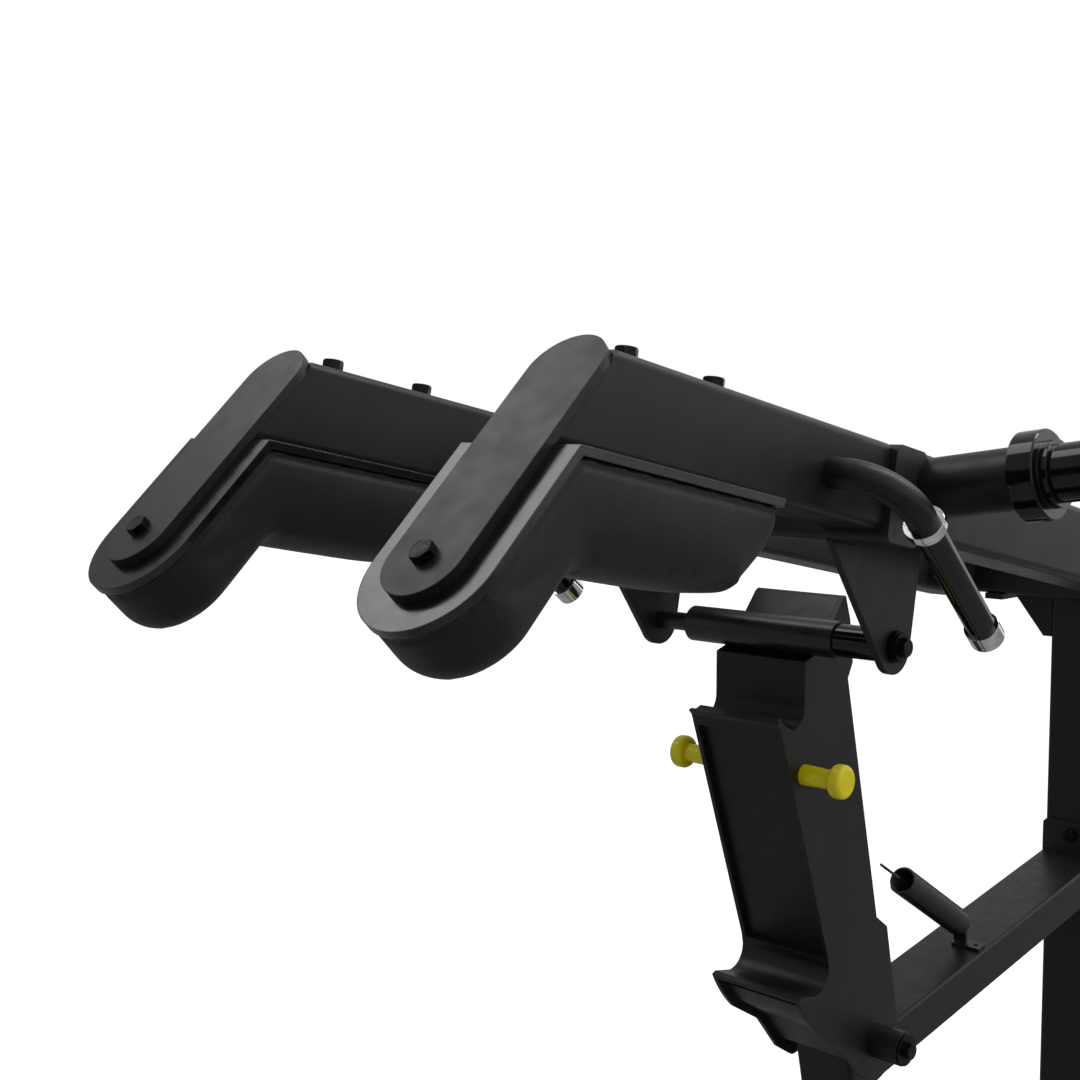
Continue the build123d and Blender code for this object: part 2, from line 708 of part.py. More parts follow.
def make_head():
    middle = head_bottom + head_height / 2
    top = head_bottom + head_height
    head = Pos(0, pivot_y, middle) * tube_x(head_depth, head_height, frame_wall, tube_corner, head_length)
    cap = extrude(Plane.YZ * RectangleRounded(head_depth, head_height, tube_corner), cap_thickness)
    cap = Pos(head_length / 2, pivot_y, middle) * cap
    frame_caps.extend([cap, mirrored(cap)])
    block = Box(bearing_width, head_depth, bearing_base, align=(Align.CENTER, Align.CENTER, Align.MIN))
    web = Box(bearing_width, bearing_base * 2, pivot_rise, align=(Align.CENTER, Align.CENTER, Align.MIN))
    start = bearing_offset - bearing_width / 2
    end = bearing_offset + bearing_width / 2
    housing = Pos(bearing_offset, pivot_y, top) * (block + web)
    housing = housing + rod_x(2 * bearing_radius, start, end, pivot_y, pivot_z)
    housing = housing - rod_x(pivot_diameter + 2 * running_gap, start - 1, end + 1, pivot_y, pivot_z)
    hang = (Align.CENTER, Align.CENTER, Align.MAX)
    nut_plate = Box(bearing_width, head_depth, flange_thickness, align=hang)
    nut_plate = Pos(bearing_offset, pivot_y, head_bottom) * nut_plate
    for side in (-1, 1):
        spot = Pos(bearing_offset, pivot_y + side * (head_depth / 2 - small_hex / 2), top + bearing_base)
        hole = spot * Cylinder(small_bolt / 2 + bolt_clearance, 4 * head_height)
        housing = housing - hole
        nut_plate = nut_plate - hole
        head = head - hole - mirrored(hole)
        length = bearing_base + head_height + flange_thickness
        fixing = spot * bolt(small_hex, small_head - 1, small_bolt, length)
        frame_bolts.extend([fixing, mirrored(fixing)])
    pieces["head_tube"] = head
    both("bearing_housings", housing)
    both("bearing_nut_plates", nut_plate)


def make_base():
    half = base_length / 2
    front_y = -half + anchor_tab + foot_depth / 2
    rear_y = half - anchor_tab - foot_depth / 2
    mid_y = -half + anchor_tab + platform_depth - foot_depth / 2
    level = rubber_height + foot_height / 2
    for name, start, end in (("front_spine", front_y, mid_y), ("rear_spine", mid_y, rear_y)):
        length = end - start - foot_depth
        spine = tube_y(spine_width, foot_height, frame_wall, tube_corner, length)
        pieces[name] = Pos(0, start + foot_depth / 2, level) * spine
    rubbers = []
    tabs = []
    feet = (
        ("front_foot", front_y, front_foot_length),
        ("middle_foot", mid_y, front_foot_length),
        ("rear_foot", rear_y, rear_foot_length),
    )
    for name, y, length in feet:
        tube = tube_x(foot_depth, foot_height, frame_wall, tube_corner, length - 2 * cap_thickness)
        pieces[name] = Pos(0, y, level) * tube
        cap = extrude(Plane.YZ * RectangleRounded(foot_depth, foot_height, tube_corner), cap_thickness)
        cap = Pos(length / 2 - cap_thickness, y, level) * cap
        frame_caps.extend([cap, mirrored(cap)])
        pad = Box(rubber_size, foot_depth - 2 * tube_corner, rubber_height)
        rubbers.append(Pos(length / 2 - rubber_size, y, rubber_height / 2) * pad)
    for side in (-1, 1):
        tab = Box(anchor_width, anchor_tab, anchor_thickness)
        tab = tab - Cylinder(anchor_hole / 2, 2 * anchor_thickness)
        height = rubber_height + tube_corner + anchor_thickness / 2
        tabs.append(Pos(anchor_spacing / 2, side * (half - anchor_tab / 2), height) * tab)
    both("rubber_feet", Compound(rubbers))
    both("anchor_tabs", Compound(tabs))
    plate_y = -half + anchor_tab + platform_depth / 2
    plate = Box(front_foot_length, platform_depth, platform_thickness)
    pieces["foot_plate"] = Pos(0, plate_y, floor_top + platform_thickness / 2) * plate
    mat_width = front_foot_length - 2 * mat_margin
    mat_depth = platform_depth - 2 * mat_margin
    mat = extrude(RectangleRounded(mat_width, mat_depth, mat_margin), mat_thickness)
    pieces["foot_mat"] = Pos(0, plate_y, floor_top + platform_thickness) * mat


def make_flanges():
    """The plates that the two columns stand on, bolted through to the base."""
    post_y = catch_y + (catch_z - floor_top) * math.tan(math.radians(post_lean))
    upright_y = upright_front + upright_depth / 2
    plates = []
    for y, depth in ((post_y, post_depth), (upright_y, upright_depth)):
        plate = Box(spine_width, depth + 2 * flange_margin, flange_thickness)
        plate = Pos(0, y, floor_top + flange_thickness / 2) * plate
        for side in (-1, 1):
            for across in (-1, 1):
                x = across * (spine_width / 2 - small_hex)
                away = (depth + flange_margin + small_hex / 2) / 2
                spot = Pos(x, y + side * away, floor_top + flange_thickness)
                hole = spot * Cylinder(small_bolt / 2 + bolt_clearance, 3 * (flange_thickness + frame_wall))
                plate = plate - hole
                for tube in ("rear_spine", "rear_foot"):
                    pieces[tube] = pieces[tube] - hole
                frame_bolts.append(spot * bolt(small_hex, small_head, small_bolt, 2 * flange_thickness))
        plates.append(plate)
    pieces["column_flanges"] = Compound(plates)


def make_spring():
    """Coil drawn close, with a loop at its front end, and its foot bracket on the strut."""
    foot_y = catch_y + spring_foot_along
    slope = math.tan(math.radians(strut_slope))
    top = shoulder_height - strut_drop + (foot_y - shoulder_y - strut_along) * slope
    turn = math.radians(spring_slope)
    direction = Vector(0, -math.cos(turn), math.sin(turn))
    foot = Vector(spring_x, foot_y, top + spring_foot_rise)
    place = Plane(foot, x_dir=(1, 0, 0), z_dir=direction).location
    middle = spring_start + spring_length / 2
    coil = Pos(0, 0, middle) * Cylinder(spring_diameter / 2, spring_length)
    bore = Pos(0, 0, middle + spring_wire) * Cylinder(spring_diameter / 2 - spring_wire, spring_length)
    loop_radius = spring_diameter / 2 - 1.5 * spring_wire
    shaft_length = spring_start + spring_length + loop_reach
    shaft = Pos(0, 0, shaft_length / 2) * Cylinder(spring_wire / 2, shaft_length)
    tail = Pos(0, 0, -spring_tail / 2) * Cylinder(spring_wire / 2, spring_tail)
    button = Pos(0, 0, -spring_tail) * Sphere(spring_wire)
    loop = Rot(0, 0, loop_turn) * Rot(0, 90, 0) * Torus(loop_radius, spring_wire / 2)
    loop = Pos(0, 0, shaft_length + loop_radius) * loop
    pieces["catch_spring"] = place * (coil - bore + shaft + tail + button + loop)
    base = Box(strip_base, strip_width, strip_thickness, align=(Align.MIN, Align.CENTER, Align.MIN))
    base = Pos(-strip_width / 2, 0, 0) * base
    base = base - Pos(strip_base - strip_width, 0, 0) * Cylinder(strip_width / 6, 4 * strip_thickness)
    height = spring_foot_rise + strip_width / 4
    wall = Box(strip_width, strip_thickness, height, align=(Align.CENTER, Align.CENTER, Align.MIN))
    bracket = Pos(spring_x, foot_y, top) * Rot(strut_slope, 0, 0) * (base + wall)
    bore = Cylinder(spring_wire / 2 + hook_clearance, spring_start * 2)
    pieces["spring_bracket"] = bracket - place * bore


def main():
    make_arms()
    make_lever_frame()
    make_handles()
    make_horns()
    make_roller()
    make_catch()
    axis = make_post()
    make_strut(axis)
    make_upright()
    make_head()
    make_base()
    make_flanges()
    make_spring()
    pieces["frame_bolts"] = Compound(frame_bolts)
    pieces["frame_end_caps"] = Compound(frame_caps)
    os.makedirs("parts", exist_ok=True)
    for name, solid in pieces.items():
        export_step(solid, os.path.join("parts", name + ".step"))
    print(len(pieces), "nodes")


main()
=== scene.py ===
import bmesh
import bpy
import json
import math
from mathutils import Matrix, Vector


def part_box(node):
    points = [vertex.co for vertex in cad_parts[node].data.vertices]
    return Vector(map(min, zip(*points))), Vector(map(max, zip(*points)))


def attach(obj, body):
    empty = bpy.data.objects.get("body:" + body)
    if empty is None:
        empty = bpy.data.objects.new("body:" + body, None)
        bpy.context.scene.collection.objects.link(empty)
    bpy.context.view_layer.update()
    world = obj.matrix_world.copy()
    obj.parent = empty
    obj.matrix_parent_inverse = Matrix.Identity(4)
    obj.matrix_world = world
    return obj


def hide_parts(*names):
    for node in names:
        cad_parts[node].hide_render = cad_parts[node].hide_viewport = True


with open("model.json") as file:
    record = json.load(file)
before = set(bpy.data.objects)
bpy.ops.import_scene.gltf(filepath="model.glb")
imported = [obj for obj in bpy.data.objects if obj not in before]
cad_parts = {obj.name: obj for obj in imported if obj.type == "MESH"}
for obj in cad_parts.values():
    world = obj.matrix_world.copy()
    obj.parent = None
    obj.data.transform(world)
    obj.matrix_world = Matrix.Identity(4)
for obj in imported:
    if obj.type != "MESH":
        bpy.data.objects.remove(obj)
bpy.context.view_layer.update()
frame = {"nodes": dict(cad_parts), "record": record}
nodes = frame["nodes"]
print("frame loaded:", len(nodes), "nodes")

# a 50 mm lens just above shoulder height, looking a little down
cameraSetup = {
    "place": (0.8839, -1.2077, 1.5817), "down": 4.57, "turn": 44.11, "lens": 50.0, "sensor": 36.0,
    "nearest": 0.02, "farthest": 200.0,
}


def addCamera():
    data = bpy.data.cameras.new("camera")
    data.lens = cameraSetup["lens"]
    data.sensor_width = cameraSetup["sensor"]
    data.clip_start = cameraSetup["nearest"]
    data.clip_end = cameraSetup["farthest"]
    camera = bpy.data.objects.new("camera", data)
    camera.location = cameraSetup["place"]
    tilt = math.radians(90 - cameraSetup["down"])
    camera.rotation_euler = (tilt, 0, math.radians(cameraSetup["turn"]))
    bpy.context.scene.collection.objects.link(camera)
    bpy.context.scene.camera = camera


addCamera()
bpy.context.scene.view_settings.view_transform = "Standard"


def linearColour(text):
    parts = [int(text[i:i + 2], 16) / 255 for i in (0, 2, 4)]
    return [p / 12.92 if p <= 0.04045 else ((p + 0.055) / 1.055) ** 2.4 for p in parts] + [1.0]


def addNode(tree, kind, inputs=None, **settings):
    made = tree.nodes.new(kind)
    for key, value in settings.items():
        setattr(made, key, value)
    for key, value in (inputs or {}).items():
        if isinstance(value, bpy.types.NodeSocket):
            tree.links.new(value, made.inputs[key])
        else:
            made.inputs[key].default_value = value
    return made


def startMaterial(name, fixed):
    material = bpy.data.materials.new(name)
    material.use_nodes = True
    tree = material.node_tree
    shader = tree.nodes["Principled BSDF"]
    for key, value in fixed.items():
        shader.inputs[key].default_value = value
    return material, tree, shader


# cloud shifts the colour, wear the roughness and relief the surface: grain in metres, detail, stretch.
# Where there are cells, they take the place of wear and are added to relief.
even = (1, 1, 1)
ramp = {"low": 0.35, "high": 0.65}
noiseSpan = {"low": 0.3, "high": 0.7}
bevelSamples = 4


def makeFinish(name, look):
    material, tree, shader = startMaterial(name, look["fixed"])
    where = addNode(tree, "ShaderNodeTexCoord").outputs["Object"]
    field = {}
    for part in ("cloud", "wear", "relief"):
        if part not in look:
            continue
        size, detail, stretch = look[part]
        place = addNode(tree, "ShaderNodeMapping", {"Vector": where, "Scale": stretch}).outputs["Vector"]
        noise = addNode(tree, "ShaderNodeTexNoise", {"Vector": place, "Scale": 1 / size, "Detail": detail})
        field[part] = noise.outputs["Fac"]
    if "cells" in look:
        cells = addNode(tree, "ShaderNodeTexVoronoi", {"Vector": where, "Scale": 1 / look["cells"]},
                        feature="SMOOTH_F1")
        field["wear"] = cells.outputs["Distance"]
        raised = addNode(tree, "ShaderNodeMath", {0: field["wear"], 1: field["relief"]}, operation="ADD")
        field["relief"] = raised.outputs[0]

    colours = addNode(tree, "ShaderNodeValToRGB", {"Fac": field["cloud"]})
    first, last = colours.color_ramp.elements
    first.position, last.position = ramp["low"], ramp["high"]
    first.color, last.color = linearColour(look["dark"]), linearColour(look["light"])
    tree.links.new(colours.outputs["Color"], shader.inputs["Base Color"])

    low, high = look["rough"]
    rough = addNode(tree, "ShaderNodeMapRange", {
        "Value": field["wear"], "From Min": noiseSpan["low"], "From Max": noiseSpan["high"],
        "To Min": low, "To Max": high})
    tree.links.new(rough.outputs["Result"], shader.inputs["Roughness"])

    inputs = {"Height": field["relief"], "Distance": look["depth"], "Strength": look["strength"]}
    if "edge" in look:
        soft = addNode(tree, "ShaderNodeBevel", {"Radius": look["edge"]}, samples=bevelSamples)
        inputs["Normal"] = soft.outputs["Normal"]
    tree.links.new(addNode(tree, "ShaderNodeBump", inputs).outputs["Normal"], shader.inputs["Normal"])
    return material


def glossLook(dark, light, rough, edge, specular):
    # smooth paint and plastic: a long shallow wave bends the reflections a little
    return {"fixed": {"Specular IOR Level": specular}, "dark": dark, "light": light,
            "cloud": (0.03, 3.0, even), "wear": (0.012, 6.0, even), "relief": (0.009, 2.0, even),
            "rough": (rough * 0.85, rough * 1.2), "depth": 0.00004, "strength": 0.35, "edge": edge}


def metalLook(dark, light, rough, turned, edge):
    # bare or plated metal: fine lines, drawn out along the way it was turned
    return {"fixed": {"Metallic": 1.0}, "dark": dark, "light": light,
            "cloud": (0.01, 4.0, even), "wear": (0.006, 5.0, even), "relief": (0.0012, 2.0, turned),
            "rough": (rough * 0.7, rough * 1.4), "depth": 0.00002, "strength": 0.4, "edge": edge}


# powder baked onto steel: a fine orange peel that spreads each highlight
powderCoat = {
    "fixed": {"Specular IOR Level": 0.32}, "dark": "121314", "light": "19191b",
    "cloud": (0.06, 4.0, even), "wear": (0.02, 5.0, even), "relief": (0.0011, 2.0, even),
    "rough": (0.36, 0.46), "depth": 0.00006, "strength": 0.5, "edge": 0.0012,
}
# embossed vinyl over foam: small pebbles with creases between them, and a dull soft sheen
upholstery = {
    "fixed": {"Specular IOR Level": 0.30, "Sheen Weight": 0.06, "Sheen Roughness": 0.5},
    "dark": "0e0e0f", "light": "151516", "cells": 0.0016,
    "cloud": (0.03, 5.0, even), "relief": (0.0006, 4.0, even),
    "rough": (0.58, 0.48), "depth": 0.00022, "strength": 0.45,
}
# moulded rubber: matt, with a fine grit from its mould
rubber = {
    "fixed": {"Specular IOR Level": 0.3}, "dark": "141414", "light": "1d1d1c",
    "cloud": (0.02, 5.0, even), "wear": (0.004, 4.0, even), "relief": (0.0007, 3.0, even),
    "rough": (0.72, 0.86), "depth": 0.0001, "strength": 0.5, "edge": 0.001,
}
finishes = {
    "powder_coat": makeFinish("satinPowderCoat", powderCoat),
    "upholstery": makeFinish("pebbledLeatherette", upholstery),
    # lacquer on board: a clear, slightly soft reflection
    "gloss_board": makeFinish("lacqueredBoard", glossLook("0c0c0d", "141415", 0.2, 0.0014, 0.6)),
    # enamel on a turned tube: near black with sharp narrow highlights
    "gloss_black": makeFinish("glossBlackEnamel", glossLook("050506", "090909", 0.09, 0.0012, 0.42)),
    # chrome plate: almost a mirror, faintly drawn out around the turning
    "chrome_trim": makeFinish("polishedChrome", metalLook("d4d5d8", "f0f0f2", 0.07, (0.2, 1, 1), 0.0008)),
    # coloured moulded plastic: strong yellow with a soft shine
    "yellow_plastic": makeFinish("yellowKnobPlastic", glossLook("e0d200", "ece00c", 0.26, 0.001, 0.5)),
    "black_rubber": makeFinish("mouldedRubber", rubber),
    # plain moulded plastic: charcoal with a broad dull shine
    "end_cap_plastic": makeFinish("mouldedCapPlastic", glossLook("161617", "1d1d1f", 0.45, 0.0012, 0.4)),
    # steel under an oxide film: dark, with a metal's tinted highlight
    "blackened_bolts": makeFinish("blackOxideSteel", metalLook("1c1c1e", "2a2a2d", 0.38, even, 0.0006)),
    # lathe-turned steel: grey, with close rings from the tool
    "bright_steel": makeFinish("turnedSteel", metalLook("8c8d92", "b0b1b6", 0.28, (6, 1, 1), 0.0008)),
    # painted spring wire: dark satin
    "dark_steel": makeFinish("satinBlackSteel", glossLook("121213", "1b1b1d", 0.3, 0.001, 0.5)),
}


def dressNodes():
    slotOf = {row["node"]: row["material_slot"] for row in frame["record"]["subparts"]}
    for name, item in nodes.items():
        item.data.materials.clear()
        item.data.materials.append(finishes[slotOf[name]])


dressNodes()
print("finishes:", len(finishes), "materials on the frame")

# the lever's own axes: along the arm from the shoulder, and up from it
lever = {
    "shoulderY": -0.58, "shoulderZ": 1.5, "slope": math.radians(10.9), "plateTurn": math.radians(54.8),
}
# each pad is stuffed from its CAD solid
cushion = {
    "outTop": -0.0207, "upTop": 0.0748, "thickness": 0.061, "tailThickness": 0.073, "halfWidth": 0.057,
    "tail": 0.308, "chamfer": 0.034, "armX": 0.170, "weld": 0.00005,
    "voxel": 0.005, "startSmaller": 0.0015, "pressure": 4.0, "mostSwell": 0.005, "frames": 20,
    "lowerEdge": 0.030, "upperEdge": 0.003, "tailEdge": 0.010,
    "shrinkFade": 0.006, "relax": 0.4, "relaxTimes": 3, "heldTo": 0.002, "heldFade": 0.008,
    "seamDepth": 0.0055, "seamWidth": 0.0022, "seamPull": 0.0014,
    "seamBand": 0.012, "seamClear": 0.01, "tailCorner": 0.02,
}


def toLever(point):
    y = point.y - lever["shoulderY"]
    z = point.z - lever["shoulderZ"]
    c, s = math.cos(lever["slope"]), math.sin(lever["slope"])
    return y * c - z * s, y * s + z * c


def fromLever(x, along, up):
    c, s = math.cos(lever["slope"]), math.sin(lever["slope"])
    return Vector((x, along * c + up * s, -along * s + up * c))


def padSides(point, side):
    # how far below the board, above the underside and in from the edge, and the way inwards
    c, s = math.cos(lever["plateTurn"]), math.sin(lever["plateTurn"])
    along, up = toLever(point)
    out, rise = -along * s + up * c, along * c + up * s
    across = point.x - side * cushion["armX"]
    upLow = cushion["upTop"] - cushion["tailThickness"]
    outLow = cushion["outTop"] - cushion["thickness"]
    below = min(cushion["outTop"] - out, cushion["upTop"] - up)
    sides = ((out - outLow, fromLever(0, -s, c)), (up - upLow, fromLever(0, 0, 1)))
    above, lift = max(sides, key=lambda pair: pair[0])
    slanted = (cushion["tail"] - along + up - upLow - cushion["chamfer"]) / math.sqrt(2)
    if slanted < above:
        above, lift = slanted, fromLever(0, -1, 1).normalized()
    if rise < 0:
        reach = max(math.hypot(across, rise), 1e-6)
        edge = cushion["halfWidth"] - reach
        inwards = (Vector((-across, 0, 0)) - rise * fromLever(0, c, s)) / reach
    else:
        edge = cushion["halfWidth"] - abs(across)
        inwards = Vector((-1 if across > 0 else 1, 0, 0))
    return below, above, lift, edge, inwards, cushion["tail"] - along


def roundOff(first, second, radius):
    # how far a point near a corner moves along each side's way inwards to lie on the corner's arc
    a, b = radius - first, radius - second
    size = math.hypot(a, b)
    if a <= 0 or b <= 0 or size <= radius:
        return 0.0, 0.0
    return a * (1 - radius / size), b * (1 - radius / size)


def applyModifier(item):
    graph = bpy.context.evaluated_depsgraph_get()
    mesh = bpy.data.meshes.new_from_object(item.evaluated_get(graph))
    old = item.data
    item.modifiers.clear()
    item.data = mesh
    bpy.data.meshes.remove(old)


def smoothFaces(item):
    for face in item.data.polygons:
        face.use_smooth = True


def padStart(name, nodeName):
    mesh = nodes[nodeName].data.copy()
    item = bpy.data.objects.new(name, mesh)
    bpy.context.scene.collection.objects.link(item)
    work = bmesh.new()
    work.from_mesh(mesh)
    bmesh.ops.remove_doubles(work, verts=work.verts, dist=cushion["weld"])
    bmesh.ops.recalc_face_normals(work, faces=work.faces)
    work.to_mesh(mesh)
    work.free()
    remesh = item.modifiers.new("voxels", "REMESH")
    remesh.mode = "VOXEL"
    remesh.voxel_size = cushion["voxel"]
    applyModifier(item)
    return item


def roundPad(item, side):
    for vertex in item.data.vertices:
        below, above, lift, edge, inwards, tailGap = padSides(vertex.co, side)
        awayFromTail = fromLever(0, -1, 0)
        first, second = roundOff(edge, tailGap, cushion["tailEdge"])
        move = first * inwards + second * awayFromTail
        first, second = roundOff(edge, above, cushion["lowerEdge"])
        move += first * inwards + second * lift
        first, second = roundOff(edge, below, cushion["upperEdge"])
        move += first * inwards - second * lift
        vertex.co += move
        fade = min(1.0, max(below, 0) / cushion["shrinkFade"])
        vertex.co -= vertex.normal * cushion["startSmaller"] * fade


def swellPad(item, side):
    start = [vertex.co.copy() for vertex in item.data.vertices]
    held = item.vertex_groups.new(name="board")
    for vertex in item.data.vertices:
        below = padSides(vertex.co, side)[0]
        hold = 1 - (below - cushion["heldTo"]) / cushion["heldFade"]
        held.add([vertex.index], max(0.0, min(1.0, hold)), "REPLACE")
    cloth = item.modifiers.new("swell", "CLOTH")
    cloth.settings.use_pressure = True
    cloth.settings.uniform_pressure_force = cushion["pressure"]
    cloth.settings.effector_weights.gravity = 0
    cloth.settings.vertex_group_mass = "board"
    cloth.point_cache.frame_end = cushion["frames"]
    scene = bpy.context.scene
    for number in range(1, cushion["frames"] + 1):
        scene.frame_set(number)
    applyModifier(item)
    scene.frame_set(1)
    for vertex, before in zip(item.data.vertices, start):
        step = vertex.co - before
        if step.length > cushion["mostSwell"]:
            vertex.co = before + step.normalized() * cushion["mostSwell"]


def seamPad(item, side):
    for vertex in item.data.vertices:
        below, above, lift, edge, inwards, tailGap = padSides(vertex.co, side)
        if above < cushion["seamClear"]:
            continue
        offCentre = (below - cushion["seamDepth"]) / cushion["seamWidth"]
        pull = cushion["seamPull"] * math.exp(-offCentre ** 2)
        towards = fromLever(0, -1, 0) if tailGap < min(edge, cushion["tailCorner"]) else inwards
        if min(edge, tailGap) < cushion["seamBand"]:
            vertex.co += towards * pull


def makePad(name, nodeName, side):
    item = padStart(name, nodeName)
    roundPad(item, side)
    relax = item.modifiers.new("relax", "SMOOTH")
    relax.factor = cushion["relax"]
    relax.iterations = cushion["relaxTimes"]
    applyModifier(item)
    swellPad(item, side)
    finer = item.modifiers.new("finer", "SUBSURF")
    finer.levels = finer.render_levels = 1
    applyModifier(item)
    seamPad(item, side)
    smoothFaces(item)
    item.data.materials.clear()
    item.data.materials.append(finishes["upholstery"])
    item.vertex_groups.clear()
    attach(item, "lever")
    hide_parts(nodeName)


makePad("rightCushion", "shoulder_pad_right", 1)
makePad("leftCushion", "shoulder_pad_left", -1)
print("shoulder pads stuffed and seamed")

# a close-wound spring on a straight wire, with a loop at its free end
spring = {
    "foot": (0.008, 0.4349, 0.96789), "slope": 31.5, "radius": 0.0149, "wire": 0.0032, "start": 0.009,
    "length": 0.158, "closing": 4.2, "tail": 0.013, "button": 0.0032,
    "loopReach": 0.019, "loopRadius": 0.0117, "loopTurn": 69.0, "loopSteps": 48, "loopStep": 7.2,
    "loopLap": 0.004,
}


def addInput(tree, name, value, whole=False):
    kind = "NodeSocketInt" if whole else "NodeSocketFloat"
    made = tree.interface.new_socket(name, in_out="INPUT", socket_type=kind)
    made.default_value = value
    return made.identifier


def coilTree(material):
    tree = bpy.data.node_groups.new("drawnCoil", "GeometryNodeTree")
    tree.interface.new_socket("Geometry", in_out="OUTPUT", socket_type="NodeSocketGeometry")
    keys = {name: addInput(tree, name, value) for name, value in (
        ("coilRadius", 0.015), ("wireRadius", 0.0016), ("coilLength", 0.15), ("turns", 40.0),
        ("closing", 4.0))}
    given = addNode(tree, "NodeGroupInput").outputs
    coil = addNode(tree, "GeometryNodeCurveSpiral", {
        "Resolution": 24, "Rotations": given["turns"], "Start Radius": given["coilRadius"],
        "End Radius": given["coilRadius"], "Height": given["coilLength"]})
    closing = addNode(tree, "GeometryNodeCurveSpiral", {
        "Resolution": 24, "Rotations": given["closing"], "Start Radius": given["wireRadius"],
        "End Radius": given["coilRadius"], "Height": 0.0})
    both = addNode(tree, "GeometryNodeJoinGeometry")
    tree.links.new(coil.outputs["Curve"], both.inputs[0])
    tree.links.new(closing.outputs["Curve"], both.inputs[0])
    ring = addNode(tree, "GeometryNodeCurvePrimitiveCircle", {"Resolution": 8, "Radius": given["wireRadius"]})
    wire = addNode(tree, "GeometryNodeCurveToMesh", {
        "Curve": both.outputs[0], "Profile Curve": ring.outputs["Curve"], "Fill Caps": True})
    real = addNode(tree, "GeometryNodeRealizeInstances", {0: wire.outputs["Mesh"]})
    dressed = addNode(tree, "GeometryNodeSetMaterial", {"Geometry": real.outputs[0], "Material": material})
    addNode(tree, "NodeGroupOutput", {0: dressed.outputs["Geometry"]})
    return tree, keys


def runTree(name, tree, keys, values):
    item = bpy.data.objects.new(name, bpy.data.meshes.new(name))
    bpy.context.scene.collection.objects.link(item)
    modifier = item.modifiers.new("tree", "NODES")
    modifier.node_group = tree
    for key, value in values.items():
        modifier[keys[key]] = value
    applyModifier(item)
    return item


def wireThrough(name, points, radius):
    curve = bpy.data.curves.new(name, "CURVE")
    curve.dimensions = "3D"
    curve.bevel_depth = radius
    curve.bevel_resolution = 4
    curve.use_fill_caps = True
    line = curve.splines.new("POLY")
    line.points.add(len(points) - 1)
    for spot, point in zip(line.points, points):
        spot.co = (*point, 1)
    item = bpy.data.objects.new(name, curve)
    bpy.context.scene.collection.objects.link(item)
    graph = bpy.context.evaluated_depsgraph_get()
    mesh = bpy.data.meshes.new_from_object(item.evaluated_get(graph))
    bpy.data.objects.remove(item)
    return mesh


def makeSpring():
    tree, keys = coilTree(finishes["dark_steel"])
    turns = spring["length"] / spring["wire"] - 1
    item = runTree("catchSpringCoil", tree, keys, {
        "coilRadius": spring["radius"], "wireRadius": spring["wire"] / 2,
        "coilLength": spring["length"] - spring["wire"], "turns": turns,
        "closing": spring["closing"]})
    item.data.transform(Matrix.Translation((0, 0, spring["start"] + spring["wire"] / 2)))
    top = spring["start"] + spring["length"] + spring["loopReach"]
    turn = math.radians(spring["loopTurn"])
    flat = Vector((-math.sin(turn), math.cos(turn), 0))
    middle = Vector((0, 0, top + spring["loopRadius"]))
    points = [Vector((0, 0, -spring["tail"])), Vector((0, 0, top - spring["loopLap"]))]
    for step in range(spring["loopSteps"] + 1):
        angle = math.radians(-90 + step * spring["loopStep"])
        around = flat * math.cos(angle) + Vector((0, 0, math.sin(angle)))
        points.append(middle + spring["loopRadius"] * around)
    wire = wireThrough("springWire", points, spring["wire"] / 2)
    work = bmesh.new()
    work.from_mesh(item.data)
    work.from_mesh(wire)
    button = bmesh.ops.create_uvsphere(work, u_segments=16, v_segments=10, radius=spring["button"])
    bmesh.ops.translate(work, verts=button["verts"], vec=(0, 0, -spring["tail"]))
    slope = math.radians(spring["slope"])
    axis = Vector((0, -math.cos(slope), math.sin(slope)))
    across = Vector((1, 0, 0))
    turnTo = Matrix((across, axis.cross(across), axis)).transposed().to_4x4()
    work.transform(Matrix.Translation(spring["foot"]) @ turnTo)
    bmesh.ops.recalc_face_normals(work, faces=work.faces)
    work.to_mesh(item.data)
    work.free()
    item.data.materials.clear()
    item.data.materials.append(finishes["dark_steel"])
    smoothFaces(item)
    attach(item, "frame")
    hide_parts("catch_spring")


makeSpring()
print("spring wound")

# round studs on top of the foot mat
tread = {"pitch": 0.026, "radius": 0.0075, "height": 0.0014, "margin": 0.022, "taper": 0.75}


def treadTree(material):
    tree = bpy.data.node_groups.new("matTread", "GeometryNodeTree")
    tree.interface.new_socket("Geometry", in_out="OUTPUT", socket_type="NodeSocketGeometry")
    keys = {name: addInput(tree, name, value) for name, value in
            (("width", 0.6), ("depth", 0.5), ("studRadius", 0.007), ("studHeight", 0.001))}
    keys["columns"] = addInput(tree, "columns", 10, True)
    keys["rows"] = addInput(tree, "rows", 10, True)
    given = addNode(tree, "NodeGroupInput").outputs
    grid = addNode(tree, "GeometryNodeMeshGrid", {
        "Size X": given["width"], "Size Y": given["depth"], "Vertices X": given["columns"],
        "Vertices Y": given["rows"]})
    narrow = addNode(tree, "ShaderNodeMath", {0: given["studRadius"], 1: tread["taper"]},
                     operation="MULTIPLY")
    stud = addNode(tree, "GeometryNodeMeshCone", {
        "Vertices": 10, "Radius Top": narrow.outputs[0], "Radius Bottom": given["studRadius"],
        "Depth": given["studHeight"]})
    placed = addNode(tree, "GeometryNodeInstanceOnPoints", {
        "Points": grid.outputs["Mesh"], "Instance": stud.outputs["Mesh"]})
    real = addNode(tree, "GeometryNodeRealizeInstances", {0: placed.outputs["Instances"]})
    dressed = addNode(tree, "GeometryNodeSetMaterial", {"Geometry": real.outputs[0], "Material": material})
    addNode(tree, "NodeGroupOutput", {0: dressed.outputs["Geometry"]})
    return tree, keys


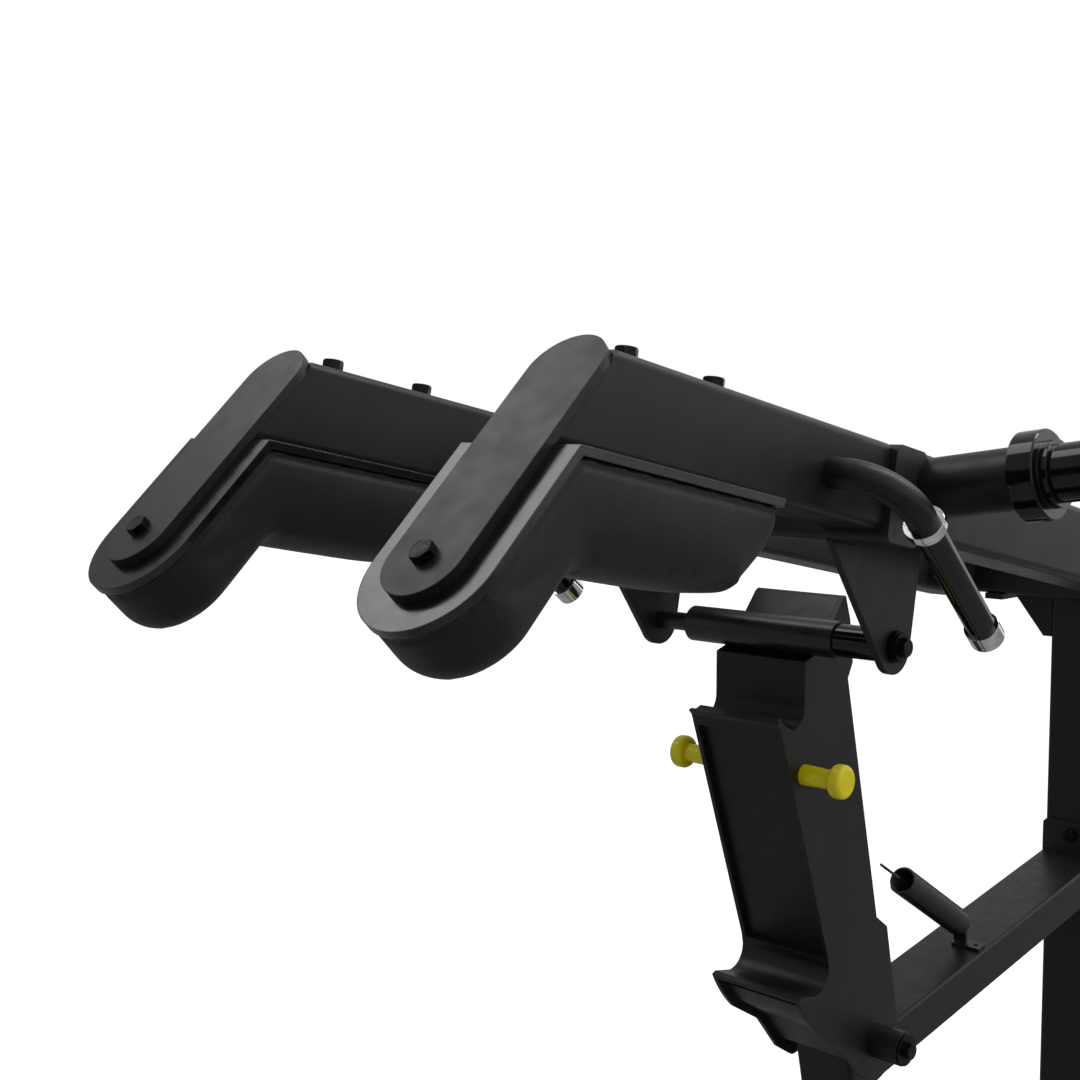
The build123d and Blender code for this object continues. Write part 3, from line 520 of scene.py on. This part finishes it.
def makeTread():
    low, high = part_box("foot_mat")
    width = high.x - low.x - 2 * tread["margin"]
    depth = high.y - low.y - 2 * tread["margin"]
    tree, keys = treadTree(finishes["black_rubber"])
    item = runTree("matTread", tree, keys, {
        "width": width, "depth": depth, "studRadius": tread["radius"], "studHeight": tread["height"],
        "columns": round(width / tread["pitch"]), "rows": round(depth / tread["pitch"])})
    item.data.transform(Matrix.Translation(((low.x + high.x) / 2, (low.y + high.y) / 2, high.z)))
    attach(item, "frame")


makeTread()
print("mat tread set")

# the camera sees a white floor and background; the machine is lit by dimmer ones
studio = {
    "floorSize": 40.0, "floorSeen": "f2f2f2", "floorBounce": "a0a0a0", "floorLift": 0.55,
    "brightSide": (0.74, 0.60, 0.30), "low": 0.32, "high": 1.0, "dimFrom": -0.3, "brightFrom": 0.9,
}
lamps = {
    "overheadSoftbox": {"place": (-2.1, -0.76, 4.16), "towards": (0.17, -0.55, 1.5), "size": (1.8, 1.8),
                        "power": 26},
    "rearStrip": {"place": (0.9, 0.9, 3.4), "towards": (0.4, 0.0, 1.4), "size": (0.5, 2.0), "power": 25},
}


def addFloor():
    half = studio["floorSize"] / 2
    mesh = bpy.data.meshes.new("studioFloor")
    corners = [(-half, -half, 0), (half, -half, 0), (half, half, 0), (-half, half, 0)]
    mesh.from_pydata(corners, [], [(0, 1, 2, 3)])
    item = bpy.data.objects.new("studioFloor", mesh)
    bpy.context.scene.collection.objects.link(item)
    material, tree, shader = startMaterial("paleFloor", {"Roughness": 0.9, "Specular IOR Level": 0.1})
    seen = addNode(tree, "ShaderNodeLightPath").outputs["Is Camera Ray"]
    bounce, pale = linearColour(studio["floorBounce"]), linearColour(studio["floorSeen"])
    colour = addNode(tree, "ShaderNodeMix", {0: seen, 6: bounce, 7: pale}, data_type="RGBA")
    tree.links.new(colour.outputs[2], shader.inputs["Base Color"])
    lift = addNode(tree, "ShaderNodeMath", {0: seen, 1: studio["floorLift"]}, operation="MULTIPLY")
    shader.inputs["Emission Color"].default_value = (1, 1, 1, 1)
    tree.links.new(lift.outputs[0], shader.inputs["Emission Strength"])
    mesh.materials.append(material)


def addWorld():
    world = bpy.data.worlds.new("studioWorld")
    bpy.context.scene.world = world
    world.use_nodes = True
    tree = world.node_tree
    way = addNode(tree, "ShaderNodeTexCoord").outputs["Generated"]
    facing = addNode(tree, "ShaderNodeVectorMath", {0: way, 1: studio["brightSide"]},
                     operation="DOT_PRODUCT")
    strength = addNode(tree, "ShaderNodeMapRange", {
        "Value": facing.outputs["Value"], "From Min": studio["dimFrom"], "From Max": studio["brightFrom"],
        "To Min": studio["low"], "To Max": studio["high"]})
    lit = tree.nodes["Background"]
    lit.inputs["Color"].default_value = (1, 1, 1, 1)
    tree.links.new(strength.outputs["Result"], lit.inputs["Strength"])
    white = addNode(tree, "ShaderNodeBackground", {"Color": (1, 1, 1, 1), "Strength": 1.0})
    seen = addNode(tree, "ShaderNodeLightPath").outputs["Is Camera Ray"]
    mixed = addNode(tree, "ShaderNodeMixShader", {0: seen, 1: lit.outputs[0], 2: white.outputs[0]})
    tree.links.new(mixed.outputs[0], tree.nodes["World Output"].inputs["Surface"])


def addLamp(name, lamp):
    data = bpy.data.lights.new(name, "AREA")
    data.shape = "RECTANGLE"
    data.size, data.size_y = lamp["size"]
    data.energy = lamp["power"]
    item = bpy.data.objects.new(name, data)
    item.location = lamp["place"]
    aim = Vector(lamp["towards"]) - Vector(lamp["place"])
    item.rotation_euler = aim.to_track_quat("-Z", "Y").to_euler()
    bpy.context.scene.collection.objects.link(item)


addFloor()
addWorld()
for lampName, lamp in lamps.items():
    addLamp(lampName, lamp)
print("studio lit")
